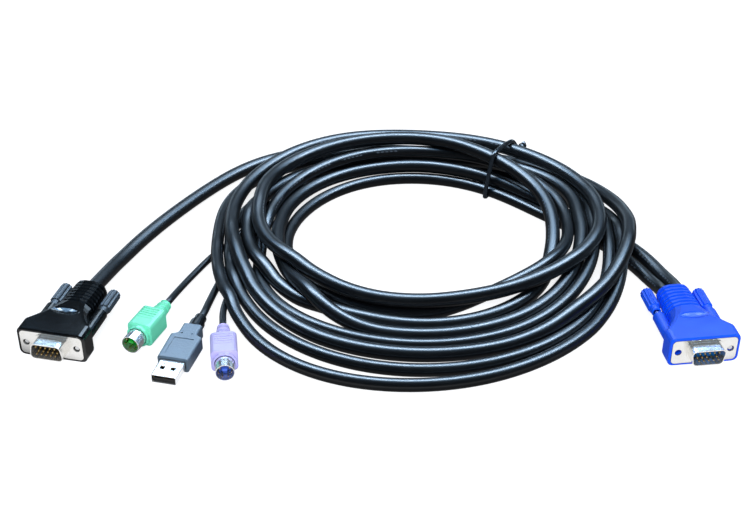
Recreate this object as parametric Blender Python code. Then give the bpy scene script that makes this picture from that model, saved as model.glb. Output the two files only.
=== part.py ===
"""Keyboard, video and mouse cable, coiled, tied and laid on a table.

One end has a black video plug, a green and a purple round plug and a flat data plug.
The other end has a blue video plug that both long cables enter. Lengths are metres.
"""

import math

import bmesh
import bpy
from mathutils import Matrix, Vector

MM = 0.001

# Clearance kept between pieces that touch, and the free play of a turning screw
SEAT = 0.3 * MM

# Video plug: pressed steel front
FLANGE_WIDTH = 30.8 * MM
FLANGE_HEIGHT = 12.5 * MM
FLANGE_CORNER = 2.0 * MM
FLANGE_THICKNESS = 0.9 * MM
SCREW_SPACING = 24.99 * MM
FLANGE_HOLE_RADIUS = 1.65 * MM
SHROUD_WIDTH = 16.92 * MM
SHROUD_HEIGHT = 8.36 * MM
SHROUD_SLANT = math.radians(10)
SHROUD_CORNER = 2.3 * MM
SHROUD_WALL = 0.5 * MM
SHROUD_REACH = 5.9 * MM
STEP_MARGIN = 1.2 * MM
STEP_RISE = 0.5 * MM
DIMPLE_RADIUS = 0.8 * MM
DIMPLE_DEPTH = 0.22 * MM
DIMPLE_PITCH = 3.2 * MM

# Video plug: insulating insert and its pins
INSERT_RISE = 0.6 * MM
INSERT_DEPTH = 5.2 * MM
PIN_RADIUS = 0.39 * MM
PIN_PITCH = 2.29 * MM
ROW_PITCH = 1.98 * MM
PIN_REACH = 5.2 * MM

# Video plug: moulded hood
HOOD_WIDTH = 33.6 * MM
HOOD_HEIGHT = 15.2 * MM
HOOD_CORNER = 2.6 * MM
BLOCK_LENGTH = 8.6 * MM
NECK_START = 27.0 * MM
NECK_WIDTH = 18.6 * MM
NECK_HEIGHT = 13.8 * MM
RELIEF_LENGTH = 19.0 * MM
RELIEF_END_WIDTH = 16.6 * MM
RELIEF_END_HEIGHT = 11.6 * MM
RELIEF_RIBS = 7
GROOVE_DEPTH = 0.8 * MM
THUMB_REST_LENGTH = 17.0 * MM
THUMB_REST_WIDTH = 7.0 * MM
THUMB_REST_DEPTH = 1.1 * MM
THUMB_REST_PLACE = 18.0 * MM
EAR_RADIUS = 3.1 * MM
EAR_END = 28.4 * MM

# Video plug: captive thumb screws
SCREW_RADIUS = 1.4 * MM
SHANK_RADIUS = 1.1 * MM
THREAD_LENGTH = 6.5 * MM
SCREW_TIP_DEPTH = 0.7 * MM
KNOB_RADIUS = 3.1 * MM
KNOB_LENGTH = 17.0 * MM
KNOB_COLLAR_LENGTH = 3.2 * MM
KNOB_FLUTES = 12
FLUTE_DEPTH = 0.35 * MM
KNOB_SOCKET_DEPTH = 8.0 * MM

# Round six-pin plug
ROUND_BODY_WIDTH = 12.4 * MM
ROUND_BODY_HEIGHT = 11.8 * MM
ROUND_BODY_LENGTH = 15.2 * MM
ROUND_BODY_CORNER = 2.4 * MM
COLLAR_RADIUS = 5.7 * MM
COLLAR_LENGTH = 2.0 * MM
BOOT_RADIUS = 4.2 * MM
BOOT_END_RADIUS = 3.0 * MM
BOOT_LENGTH = 10.5 * MM
BOOT_RINGS = 3
SHIELD_RADIUS = 4.475 * MM
SHIELD_WALL = 0.35 * MM
SHIELD_REACH = 6.8 * MM
SHIELD_SEAT_DEPTH = 3.0 * MM
CORE_FACE = 2.2 * MM
ROUND_PIN_RADIUS = 0.35 * MM
ROUND_PIN_REACH = 6.0 * MM
KEY_WIDTH = 2.3 * MM
KEY_THICKNESS = 1.1 * MM
KEY_RISE = 1.0 * MM
GRIP_WIDTH = 8.4 * MM
GRIP_LINES = 4
GRIP_MARGIN = 2.2 * MM
GRIP_PITCH = 1.7 * MM
GRIP_DEPTH = 0.35 * MM
GRIP_LINE = 0.55 * MM
PAD_LENGTH = 4.4 * MM

# Flat data plug
DATA_BODY_WIDTH = 15.6 * MM
DATA_BODY_HEIGHT = 7.6 * MM
DATA_BODY_LENGTH = 27.4 * MM
DATA_SHOULDER_PLACE = 18.0 * MM
DATA_NECK_WIDTH = 9.4 * MM
DATA_PAD_WIDTH = 9.6 * MM
DATA_PAD_FRONT = 3.0 * MM
DATA_PAD_BACK = 2.5 * MM
DATA_PAD_DEPTH = 0.3 * MM
DATA_SHELL_WIDTH = 12.0 * MM
DATA_SHELL_HEIGHT = 4.5 * MM
DATA_SHELL_WALL = 0.35 * MM
DATA_SHELL_REACH = 11.75 * MM
DATA_SHELL_SEAT = 2.6 * MM
DATA_HOLE = 2.2 * MM
TONGUE_THICKNESS = 1.7 * MM
CONTACT_WIDTH = 1.1 * MM
CONTACT_THICKNESS = 0.3 * MM
CONTACT_LENGTH = 7.4 * MM
DATA_BOOT_RADIUS = 3.6 * MM
DATA_BOOT_END_RADIUS = 2.9 * MM
DATA_BOOT_LENGTH = 10.0 * MM

# Cable diameters
VIDEO_CABLE = 7.4 * MM
DATA_CABLE = 6.4 * MM
ROUND_LEAD = 3.4 * MM
DATA_LEAD = 3.6 * MM
TABLE_GAP = 0.05 * MM

# Moulded joint where the second long cable splits into three leads
SPLITTER_LENGTH = 23.0 * MM
SPLITTER_WIDTH = 14.0 * MM
SPLITTER_HEIGHT = 9.0 * MM
SPLITTER_TAIL_RADIUS = 4.3 * MM
SPLITTER_EXIT_PITCH = 4.3 * MM
SPLITTER_CORNER = 2.8 * MM

# Width of the layout on the table, and the grid of three hundred steps that every place
# on it is counted in
LAYOUT_WIDTH = 300.0 * MM
GRID = LAYOUT_WIDTH / 300

# The origin lies under the middle of the plugs' outline
LAYOUT_CENTRE = Vector((1.115, -5.46, 0.0)) * GRID

# Coil: inner and outer radius and height at its right, back, left and front
COIL_CENTRE = Vector((24.0, 6.0, 0.0)) * GRID
COIL_INNER = (65 * GRID, 69 * GRID, 71 * GRID, 52 * GRID)
COIL_OUTER = (110 * GRID, 97 * GRID, 107 * GRID, 114 * GRID)
COIL_HEIGHT = (22 * MM, 27 * MM, 26 * MM, 17 * MM)
COIL_FOOT = 0.5 * MM
COIL_STEP = 10.0
FULL_TURN = 360.0

# Wire tie round the back of the coil
TIE_ANGLE = 57.0
TIE_WIRE = 2.2 * MM
TIE_TAIL = 9.0 * MM
TIE_CORNER = 4.5 * MM
TIE_SPREAD = 1.5 * MM
TIE_TWIST_START = 2.4 * MM

# Where plugs and the splitter lie: place on the table and heading of the mating face
BLACK_PLACE = (-149.4 * GRID, -82.2 * GRID)
BLACK_TURN = -13.0
BLUE_PLACE = (151.3 * GRID, -86.0 * GRID)
BLUE_TURN = 7.5
GREEN_PLACE = (-111.2 * GRID, -73.2 * GRID)
GREEN_TURN = -20.6
PURPLE_PLACE = (-68.4 * GRID, -93.8 * GRID)
PURPLE_TURN = 7.0
DATA_PLACE = (-92.4 * GRID, -91.5 * GRID)
DATA_TURN = -13.5
SPLITTER_PLACE = (-64.2 * GRID, 26.0 * GRID)
SPLITTER_TURN = -19.0


def clear_scene():
    """Empty the file of the objects that Blender starts with."""
    for item in list(bpy.data.objects):
        bpy.data.objects.remove(item, do_unlink=True)


def material(name, colour, roughness, metallic=0.0):
    """A plain Principled material."""
    made = bpy.data.materials.new(name)
    made.use_nodes = True
    shader = made.node_tree.nodes["Principled BSDF"]
    shader.inputs["Base Color"].default_value = (*colour, 1.0)
    shader.inputs["Roughness"].default_value = roughness
    shader.inputs["Metallic"].default_value = metallic
    return made


def add_mesh(name, mesh, finish, parent, hidden=False):
    """Put a bmesh into the scene as a named object under its parent."""
    bmesh.ops.recalc_face_normals(mesh, faces=mesh.faces)
    data = bpy.data.meshes.new(name)
    mesh.to_mesh(data)
    mesh.free()
    data.shade_smooth()
    data.set_sharp_from_angle(angle=math.radians(35))
    item = bpy.data.objects.new(name, data)
    bpy.context.collection.objects.link(item)
    item.parent = parent
    if finish:
        data.materials.append(finish)
    if hidden:
        item.hide_render = True
        item.display_type = "WIRE"
    return item


def combine(target, mesh, operation="DIFFERENCE"):
    """Cut a shape out of an object, or join it on, with a Boolean."""
    count = len(target.modifiers) + 1
    tool = add_mesh(f"{target.name}_tool_{count}", mesh, None, target.parent, hidden=True)
    tool.location = target.location
    step = target.modifiers.new(f"step_{count}", "BOOLEAN")
    step.operation = operation
    step.object = tool


def rounded_rectangle(half_width, half_height, corner, steps=5):
    """Outline in x and z, anticlockwise seen from -Y, with arcs at the corners."""
    corner = min(corner, half_width, half_height)
    points = []
    for quarter, (side, level) in enumerate([(1, 1), (-1, 1), (-1, -1), (1, -1)]):
        for step in range(steps + 1):
            angle = math.radians(90 * quarter + 90 * step / steps)
            points.append((side * (half_width - corner) + corner * math.cos(angle),
                           level * (half_height - corner) + corner * math.sin(angle)))
    return points


def d_outline(width, height, corner, steps=4):
    """D-shaped outline: wide at the top, with sides that slant in towards the bottom."""
    top = width / 2
    bottom = top - height * math.tan(SHROUD_SLANT)
    corners = [(top, height / 2, SHROUD_SLANT), (-top, height / 2, SHROUD_SLANT),
               (-bottom, -height / 2, -SHROUD_SLANT), (bottom, -height / 2, -SHROUD_SLANT)]
    points = []
    for index, (x, z, slant) in enumerate(corners):
        side = math.copysign(1, x)
        level = math.copysign(1, z)
        reach = corner / math.tan((math.pi / 2 - slant) / 2)
        middle = Vector((x - side * reach, z - level * corner))
        sweep = math.pi / 2 + slant
        start = math.pi / 2 * index - (slant if index in (0, 2) else 0)
        for step in range(steps + 1):
            angle = start + sweep * step / steps
            points.append((middle.x + corner * math.cos(angle), middle.y + corner * math.sin(angle)))
    return points


def loft(sections, closed=False):
    """Skin a run of equal-sized rings of 3-D points, capped unless the run is closed."""
    mesh = bmesh.new()
    rings = []
    for section in sections:
        verts = [mesh.verts.new(point) for point in section]
        rings.append([mesh.edges.new(pair) for pair in zip(verts, verts[1:] + verts[:1])])
    pairs = list(zip(rings, rings[1:]))
    if closed:
        pairs.append((rings[-1], rings[0]))
    for ring, following in pairs:
        bmesh.ops.bridge_loops(mesh, edges=ring + following)
    if not closed:
        bmesh.ops.edgeloop_fill(mesh, edges=rings[0])
        bmesh.ops.edgeloop_fill(mesh, edges=rings[-1])
    return mesh


def along_y(outline, place):
    """An x and z outline set upright at one place along Y."""
    return [Vector((x, place, z)) for x, z in outline]


def prism(outline, start, end):
    """A straight prism between two places along Y."""
    return loft([along_y(outline, start), along_y(outline, end)])


def circle(radius, steps=20, x=0.0, z=0.0):
    """Round outline about a point."""
    turns = [2 * math.pi * (step + 0.5) / steps for step in range(steps)]
    return [(x + radius * math.cos(turn), z + radius * math.sin(turn)) for turn in turns]


def turned(profile, steps=20, closed=False):
    """Turn a profile of (radius, y) points about Y into a solid."""
    mesh = bmesh.new()
    verts = [mesh.verts.new((radius, place, 0.0)) for radius, place in profile]
    pairs = list(zip(verts, verts[1:]))
    if closed:
        pairs.append((verts[-1], verts[0]))
    edges = [mesh.edges.new(pair) for pair in pairs]
    bmesh.ops.spin(mesh, geom=verts + edges, cent=(0, 0, 0), axis=(0, 1, 0),
                   angle=2 * math.pi, steps=steps, use_merge=True)
    bmesh.ops.remove_doubles(mesh, verts=mesh.verts, dist=0.001 * MM)
    return mesh


def block(width, length, height, x=0.0, y=0.0, z=0.0):
    """A plain box about a point."""
    mesh = bmesh.new()
    bmesh.ops.create_cube(mesh, size=1.0)
    bmesh.ops.scale(mesh, vec=(width, length, height), verts=mesh.verts)
    bmesh.ops.translate(mesh, vec=(x, y, z), verts=mesh.verts)
    return mesh


def holder(name, place, height, turn, flipped=False):
    """An empty that carries a plug: -Y runs out of the mating face, +Y to the cable."""
    item = bpy.data.objects.new(name, None)
    bpy.context.collection.objects.link(item)
    item.location = Vector((*place, height)) - LAYOUT_CENTRE
    upright = Matrix.Rotation(math.radians(turn), 4, "Z")
    over = Matrix.Rotation(math.pi if flipped else 0.0, 4, "Y")
    item.rotation_euler = (upright @ over).to_euler()
    return item


def pin_places(missing):
    """Fifteen places in three rows, the middle row half a pitch to one side."""
    places = []
    for row in range(3):
        shift = -PIN_PITCH / 4 if row == 1 else PIN_PITCH / 4
        for column in range(5):
            if (row, column) != missing:
                places.append(((column - 2) * PIN_PITCH + shift, (1 - row) * ROW_PITCH))
    return places


def steel_front(name, finish, parent):
    """Flange and D-shaped shroud, pressed from one sheet."""
    plate = prism(rounded_rectangle(FLANGE_WIDTH / 2, FLANGE_HEIGHT / 2, FLANGE_CORNER), 0, FLANGE_THICKNESS)
    front = add_mesh(name, plate, finish, parent)
    step = d_outline(SHROUD_WIDTH + 2 * STEP_MARGIN, SHROUD_HEIGHT + 2 * STEP_MARGIN, SHROUD_CORNER + STEP_MARGIN)
    combine(front, prism(step, -STEP_RISE, FLANGE_THICKNESS / 2), "UNION")
    outer = d_outline(SHROUD_WIDTH, SHROUD_HEIGHT, SHROUD_CORNER)
    combine(front, prism(outer, -SHROUD_REACH, FLANGE_THICKNESS / 3), "UNION")
    inner = inner_d(0.0)
    combine(front, prism(inner, -SHROUD_REACH - 1 * MM, FLANGE_THICKNESS + 1 * MM))
    for side in (-1, 1):
        hole = circle(FLANGE_HOLE_RADIUS, x=side * SCREW_SPACING / 2)
        combine(front, prism(hole, -1 * MM, FLANGE_THICKNESS + 1 * MM))
    for column in range(4):
        for level in (-1, 1):
            dimple = bmesh.new()
            bmesh.ops.create_icosphere(dimple, subdivisions=1, radius=DIMPLE_RADIUS)
            height = level * (SHROUD_HEIGHT / 2 + DIMPLE_RADIUS - DIMPLE_DEPTH)
            place = ((column - 1.5) * DIMPLE_PITCH, -SHROUD_REACH * 0.45, height)
            bmesh.ops.translate(dimple, vec=place, verts=dimple.verts)
            combine(front, dimple)


def inner_d(clearance):
    """Inside outline of the shroud, less a clearance."""
    wall = SHROUD_WALL + clearance
    return d_outline(SHROUD_WIDTH - 2 * wall, SHROUD_HEIGHT - 2 * wall, SHROUD_CORNER - wall)


def pin_insert(name, finish, parent, missing):
    """Insulating insert with its round pins, seen inside the shroud."""
    insert = add_mesh(name, prism(inner_d(SEAT), -INSERT_RISE, INSERT_DEPTH), finish, parent)
    pins = bmesh.new()
    for x, z in pin_places(missing):
        tip = PIN_RADIUS * 0.45
        rings = [(PIN_RADIUS, 1 * MM), (PIN_RADIUS, -PIN_REACH + 2 * tip), (tip, -PIN_REACH)]
        pin = loft([along_y(circle(radius, 6, x, z), place) for radius, place in rings])
        bmesh.ops.recalc_face_normals(pin, faces=pin.faces)
        copy = bpy.data.meshes.new("pin")
        pin.to_mesh(copy)
        pin.free()
        pins.from_mesh(copy)
        bpy.data.meshes.remove(copy)
    combine(insert, pins, "UNION")


def hood_sections():
    """Rings of the moulded hood: square front block, hollow shoulders, ribbed oval relief."""
    half_width = HOOD_WIDTH / 2
    half_height = HOOD_HEIGHT / 2
    neck = NECK_WIDTH / 2
    rim = 0.5 * MM
    rings = [(0.0, half_width - rim, half_height - rim, HOOD_CORNER),
             (rim, half_width, half_height, HOOD_CORNER),
             (BLOCK_LENGTH, half_width, half_height, HOOD_CORNER)]
    shoulder_steps = 6
    for step in range(1, shoulder_steps + 1):
        share = step / shoulder_steps
        ease = (1 - share) ** 2.2
        place = BLOCK_LENGTH + (NECK_START - BLOCK_LENGTH) * share
        fall = share ** 2
        rings.append((place, neck + (half_width - neck) * ease,
                      half_height + (NECK_HEIGHT / 2 - half_height) * fall,
                      HOOD_CORNER + (NECK_HEIGHT / 2 - HOOD_CORNER) * fall))
    pitch = RELIEF_LENGTH / RELIEF_RIBS
    for rib in range(RELIEF_RIBS):
        for share, depth in ((0.12, GROOVE_DEPTH), (0.34, GROOVE_DEPTH), (0.46, 0.0), (1.0, 0.0)):
            reach = (rib + share) / RELIEF_RIBS
            place = NECK_START + pitch * (rib + share)
            wide = neck + (RELIEF_END_WIDTH / 2 - neck) * reach - depth
            high = (NECK_HEIGHT + (RELIEF_END_HEIGHT - NECK_HEIGHT) * reach) / 2 - depth
            rings.append((place, wide, high, high))
    end = NECK_START + RELIEF_LENGTH
    rings.append((end + rim, RELIEF_END_WIDTH / 2 - rim, RELIEF_END_HEIGHT / 2 - rim, HOOD_HEIGHT))
    return [along_y(rounded_rectangle(wide, high, corner, 3), place) for place, wide, high, corner in rings]


def hood(name, finish, parent):
    """Hood with screw ears, thumb rests and the pocket that holds the steel front."""
    shell = add_mesh(name, loft(hood_sections()), finish, parent)
    for side in (-1, 1):
        ear = circle(EAR_RADIUS, x=side * SCREW_SPACING / 2)
        combine(shell, prism(ear, BLOCK_LENGTH - 2 * MM, EAR_END), "UNION")
    pocket = rounded_rectangle(FLANGE_WIDTH / 2 + SEAT, FLANGE_HEIGHT / 2 + SEAT, FLANGE_CORNER + SEAT)
    combine(shell, prism(pocket, -1 * MM, FLANGE_THICKNESS + SEAT))
    combine(shell, prism(inner_d(0.0), FLANGE_THICKNESS, INSERT_DEPTH + SEAT))
    for side in (-1, 1):
        bore = circle(SCREW_RADIUS + SEAT, x=side * SCREW_SPACING / 2)
        combine(shell, prism(bore, FLANGE_THICKNESS, EAR_END + 1 * MM))
        rest = bmesh.new()
        bmesh.ops.create_uvsphere(rest, u_segments=18, v_segments=8, radius=1.0)
        size = (THUMB_REST_LENGTH / 2, THUMB_REST_WIDTH / 2, 2 * THUMB_REST_DEPTH)
        bmesh.ops.scale(rest, vec=size, verts=rest.verts)
        height = side * (HOOD_HEIGHT / 2 + THUMB_REST_DEPTH * 0.8)
        bmesh.ops.translate(rest, vec=(0, THUMB_REST_PLACE, height), verts=rest.verts)
        combine(shell, rest)


def thumb_screw(prefix, side, pulled, steel, plastic, parent):
    """Captive screw on its own axis: a steel rod and the fluted knob moulded on it."""
    axis = bpy.data.objects.new(f"{prefix}_axis", None)
    bpy.context.collection.objects.link(axis)
    axis.parent = parent
    axis.location = (side * SCREW_SPACING / 2, pulled, 0)
    chamfer = 0.4 * MM
    knob_start = EAR_END + SEAT
    rod_end = knob_start + KNOB_SOCKET_DEPTH - SEAT
    rod = [(0, SCREW_TIP_DEPTH), (SCREW_RADIUS - chamfer, SCREW_TIP_DEPTH),
           (SCREW_RADIUS, SCREW_TIP_DEPTH + chamfer), (SCREW_RADIUS, SCREW_TIP_DEPTH + THREAD_LENGTH),
           (SHANK_RADIUS, SCREW_TIP_DEPTH + THREAD_LENGTH + chamfer), (SHANK_RADIUS, knob_start + 1 * MM),
           (SCREW_RADIUS, knob_start + 1.5 * MM), (SCREW_RADIUS, rod_end), (0, rod_end)]
    add_mesh(f"{prefix}_rod", turned(rod, steps=12), steel, axis)
    knob_end = knob_start + KNOB_LENGTH
    collar_end = knob_start + KNOB_COLLAR_LENGTH
    collar = KNOB_RADIUS - 2 * FLUTE_DEPTH
    rings = [(knob_start, collar - chamfer, 0), (knob_start + chamfer, collar, 0), (collar_end, collar, 0),
             (collar_end + chamfer, KNOB_RADIUS, FLUTE_DEPTH), (knob_end - chamfer, KNOB_RADIUS, FLUTE_DEPTH),
             (knob_end, KNOB_RADIUS - chamfer, FLUTE_DEPTH)]
    sections = []
    for place, radius, depth in rings:
        outline = []
        for step in range(2 * KNOB_FLUTES):
            turn = math.pi * step / KNOB_FLUTES
            reach = radius - depth * (step % 2)
            outline.append((reach * math.cos(turn), reach * math.sin(turn)))
        sections.append(along_y(outline, place))
    knob = add_mesh(f"{prefix}_knob", loft(sections), plastic, axis)
    socket = circle(SCREW_RADIUS + SEAT, 16)
    combine(knob, prism(socket, knob_start - 1 * MM, knob_start + KNOB_SOCKET_DEPTH))


def video_plug(colour, place, turn, flipped, missing, pulled, finishes):
    """Fifteen-way video plug with its two thumb screws, lying on its hood."""
    plug = holder(f"{colour}_video_plug", place, HOOD_HEIGHT / 2, turn, flipped)
    hood(f"{colour}_hood", finishes["hood"], plug)
    steel_front(f"{colour}_steel_front", finishes["steel"], plug)
    pin_insert(f"{colour}_pin_insert", finishes["insert"], plug, missing)
    for label, side in (("left", -1), ("right", 1)):
        local_side = -side if flipped else side
        thumb_screw(f"{colour}_screw_{label}", local_side, pulled[label], finishes["screw"], finishes["knob"], plug)
    return plug


def round_body(name, finish, parent):
    """Moulded body: round collar, rounded block with grip lines, ringed boot."""
    half_width = ROUND_BODY_WIDTH / 2
    half_height = ROUND_BODY_HEIGHT / 2
    edge = 0.4 * MM
    back = COLLAR_LENGTH + ROUND_BODY_LENGTH
    rings = [(0.0, COLLAR_RADIUS - edge / 2, COLLAR_RADIUS - edge / 2, COLLAR_RADIUS),
             (edge / 2, COLLAR_RADIUS, COLLAR_RADIUS, COLLAR_RADIUS),
             (COLLAR_LENGTH - edge, COLLAR_RADIUS, COLLAR_RADIUS, COLLAR_RADIUS),
             (COLLAR_LENGTH, half_width - edge, half_height - edge, ROUND_BODY_CORNER),
             (COLLAR_LENGTH + edge, half_width, half_height, ROUND_BODY_CORNER),
             (back - edge, half_width, half_height, ROUND_BODY_CORNER),
             (back, half_width - edge, half_height - edge, ROUND_BODY_CORNER),
             (back + 0.05 * MM, BOOT_RADIUS, BOOT_RADIUS, BOOT_RADIUS)]
    pitch = BOOT_LENGTH / BOOT_RINGS
    for ring in range(BOOT_RINGS):
        for share, depth in ((0.45, 0.0), (0.55, 0.6 * MM), (0.85, 0.6 * MM), (0.98, 0.0)):
            reach = (ring + share) / BOOT_RINGS
            radius = BOOT_RADIUS + (BOOT_END_RADIUS - BOOT_RADIUS) * reach - depth
            rings.append((back + pitch * (ring + share), radius, radius, radius))
    shape = [along_y(rounded_rectangle(wide, high, corner, 4), place) for place, wide, high, corner in rings]
    body = add_mesh(name, loft(shape), finish, parent)
    combine(body, prism(circle(SHIELD_RADIUS + SEAT), -1 * MM, SHIELD_SEAT_DEPTH))
    first_line = back - GRIP_MARGIN
    for line in range(GRIP_LINES):
        place = first_line - line * GRIP_PITCH
        combine(body, block(GRIP_WIDTH, GRIP_LINE, 2 * GRIP_DEPTH, y=place, z=half_height))
    place = first_line - GRIP_LINES * GRIP_PITCH - PAD_LENGTH / 2
    combine(body, block(GRIP_WIDTH, PAD_LENGTH, GRIP_DEPTH, y=place, z=half_height))


def round_pin_places():
    """Six pins: two above, two at the sides, two below."""
    return [(-2.2 * MM, 2.0 * MM), (2.2 * MM, 2.0 * MM), (-3.0 * MM, -0.4 * MM),
            (3.0 * MM, -0.4 * MM), (-1.3 * MM, -2.6 * MM), (1.3 * MM, -2.6 * MM)]


def round_plug(colour, place, turn, finishes):
    """Six-pin round plug, lying on its body."""
    plug = holder(f"{colour}_round_plug", place, ROUND_BODY_HEIGHT / 2, turn)
    round_body(f"{colour}_round_body", finishes["body"], plug)
    inside = SHIELD_RADIUS - SHIELD_WALL
    root = SHIELD_SEAT_DEPTH - SEAT
    tube = [(SHIELD_RADIUS, -SHIELD_REACH), (SHIELD_RADIUS, root), (inside, root), (inside, -SHIELD_REACH)]
    add_mesh(f"{colour}_shield", turned(tube, closed=True), finishes["steel"], plug)
    core_shape = prism(circle(inside - SEAT, 20), -CORE_FACE, root)
    core = add_mesh(f"{colour}_core", core_shape, finishes["core"], plug)
    key_length = ROUND_PIN_REACH - CORE_FACE + 1 * MM
    key_place = -ROUND_PIN_REACH + key_length / 2
    combine(core, block(KEY_WIDTH, key_length, KEY_THICKNESS, y=key_place, z=KEY_RISE), "UNION")
    for number, (x, z) in enumerate(round_pin_places(), start=1):
        combine(core, prism(circle(ROUND_PIN_RADIUS + SEAT, 8, x, z), -CORE_FACE - 1 * MM, 1 * MM))
        tip = ROUND_PIN_RADIUS * 0.5
        rings = [(ROUND_PIN_RADIUS, 1 * MM - SEAT), (ROUND_PIN_RADIUS, -ROUND_PIN_REACH + tip), (tip, -ROUND_PIN_REACH)]
        pin = loft([along_y(circle(radius, 8, x, z), where) for radius, where in rings])
        add_mesh(f"{colour}_pin_{number}", pin, finishes["pin"], plug)
    return plug


def data_plug(finishes):
    """Flat data plug: moulded body, two-step boot, steel shell, tongue and four contacts."""
    plug = holder("data_plug", DATA_PLACE, DATA_BODY_HEIGHT / 2, DATA_TURN)
    half_width = DATA_BODY_WIDTH / 2
    half_height = DATA_BODY_HEIGHT / 2
    neck = DATA_NECK_WIDTH / 2
    edge = 0.4 * MM
    corner = 1.3 * MM
    rings = [(0.0, half_width - 0.3 * MM - edge, half_height - edge, corner),
             (edge, half_width - 0.3 * MM, half_height, corner),
             (DATA_SHOULDER_PLACE, half_width, half_height, corner),
             (DATA_SHOULDER_PLACE + 0.7 * MM, half_width - 1.4 * MM, half_height, corner),
             (DATA_SHOULDER_PLACE + 1.6 * MM, neck + 0.5 * MM, half_height, corner),
             (DATA_SHOULDER_PLACE + 3.2 * MM, neck, half_height, corner),
             (DATA_BODY_LENGTH - edge, neck, half_height, corner),
             (DATA_BODY_LENGTH, neck - edge, half_height - edge, corner)]
    shape = [along_y(rounded_rectangle(wide, high, radius, 4), place) for place, wide, high, radius in rings]
    body = add_mesh("data_body", loft(shape), finishes["body"], plug)
    seat = rounded_rectangle(DATA_SHELL_WIDTH / 2 + SEAT, DATA_SHELL_HEIGHT / 2 + SEAT, 0.8 * MM, 3)
    combine(body, prism(seat, -1 * MM, DATA_SHELL_SEAT + SEAT))
    pad_length = DATA_SHOULDER_PLACE - DATA_PAD_FRONT - DATA_PAD_BACK
    middle = DATA_PAD_FRONT + pad_length / 2
    combine(body, block(DATA_PAD_WIDTH, pad_length, 2 * DATA_PAD_DEPTH, y=middle, z=half_height))
    for side in (-1, 1):
        dimple = prism(circle(0.55 * MM, 10), -0.35 * MM, 1 * MM)
        bmesh.ops.rotate(dimple, cent=(0, 0, 0), matrix=Matrix.Rotation(math.pi / 2, 3, "X"), verts=dimple.verts)
        place = (side * 2.5 * MM, DATA_SHOULDER_PLACE + 1.2 * MM, half_height)
        bmesh.ops.translate(dimple, vec=place, verts=dimple.verts)
        combine(body, dimple)
    boot_start = DATA_BODY_LENGTH + SEAT
    middle = boot_start + 0.55 * DATA_BOOT_LENGTH
    boot_end = boot_start + DATA_BOOT_LENGTH
    boot = [(0, boot_start), (DATA_BOOT_RADIUS - edge, boot_start), (DATA_BOOT_RADIUS, boot_start + edge),
            (DATA_BOOT_RADIUS, middle - edge), (DATA_BOOT_RADIUS - edge, middle),
            (DATA_BOOT_END_RADIUS, middle + edge / 2), (DATA_BOOT_END_RADIUS, boot_end - edge),
            (DATA_BOOT_END_RADIUS - edge, boot_end), (0, boot_end)]
    add_mesh("data_boot", turned(boot), finishes["boot"], plug)
    outer = rounded_rectangle(DATA_SHELL_WIDTH / 2, DATA_SHELL_HEIGHT / 2, 0.6 * MM, 3)
    shell = add_mesh("data_shell", prism(outer, -DATA_SHELL_REACH, DATA_SHELL_SEAT), finishes["steel"], plug)
    room_width = DATA_SHELL_WIDTH / 2 - DATA_SHELL_WALL
    room_height = DATA_SHELL_HEIGHT / 2 - DATA_SHELL_WALL
    room = rounded_rectangle(room_width, room_height, 0.3 * MM, 3)
    combine(shell, prism(room, -DATA_SHELL_REACH - 1 * MM, DATA_SHELL_SEAT + 1 * MM))
    for side in (-1, 1):
        combine(shell, block(DATA_HOLE, DATA_HOLE, 8 * MM, x=side * 2.6 * MM, y=-DATA_SHELL_REACH * 0.5))
    tongue_level = -room_height + SEAT + TONGUE_THICKNESS / 2
    tongue_length = DATA_SHELL_REACH + DATA_SHELL_SEAT - 1.2 * MM
    tongue = block(2 * (room_width - SEAT), tongue_length, TONGUE_THICKNESS,
                   y=-DATA_SHELL_REACH + 0.8 * MM + tongue_length / 2, z=tongue_level)
    add_mesh("data_tongue", tongue, finishes["tongue"], plug)
    contact_level = tongue_level + TONGUE_THICKNESS / 2 + SEAT + CONTACT_THICKNESS / 2
    for number, (x, share) in enumerate(((-3.5, 1.0), (-1.0, 0.86), (1.0, 0.86), (3.5, 1.0)), start=1):
        length = CONTACT_LENGTH * share
        back = -DATA_SHELL_REACH + 1.6 * MM + CONTACT_LENGTH
        strip = block(CONTACT_WIDTH, length, CONTACT_THICKNESS, x=x * MM, y=back - length / 2, z=contact_level)
        add_mesh(f"data_contact_{number}", strip, finishes["pin"], plug)
    return plug


def between_compass(values, angle):
    """Ease a size round the coil between its values at the right, back, left and front."""
    quarter, share = divmod((angle % FULL_TURN) / (FULL_TURN / 4), 1)
    blend = (1 - math.cos(math.pi * share)) / 2
    start = values[int(quarter) % 4]
    end = values[(int(quarter) + 1) % 4]
    return start + (end - start) * blend


# Spans of the coil, in degrees, whose underside is lifted, and by how much
LIFTS = {
    "tie": (TIE_ANGLE - 2.6, TIE_ANGLE + 2.6, TIE_WIRE + 2 * SEAT),
    "splitter": (152.1, 186.0, SPLITTER_HEIGHT + SEAT),
    "leads": (186.0, 214.0, DATA_LEAD + TABLE_GAP + SEAT),
    "blue end": (346.0, 373.8, VIDEO_CABLE + TABLE_GAP + SEAT),
}
JOIN_SPAN = (78.0, 97.0)
JOIN_FOOT = VIDEO_CABLE + 1.0 * MM


def coil_lift(angle):
    """Height of the coil's underside over the table at one angle."""
    for start, end, lift in LIFTS.values():
        if start <= angle <= end or start <= angle + FULL_TURN <= end:
            return lift
    return 0.0


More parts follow.
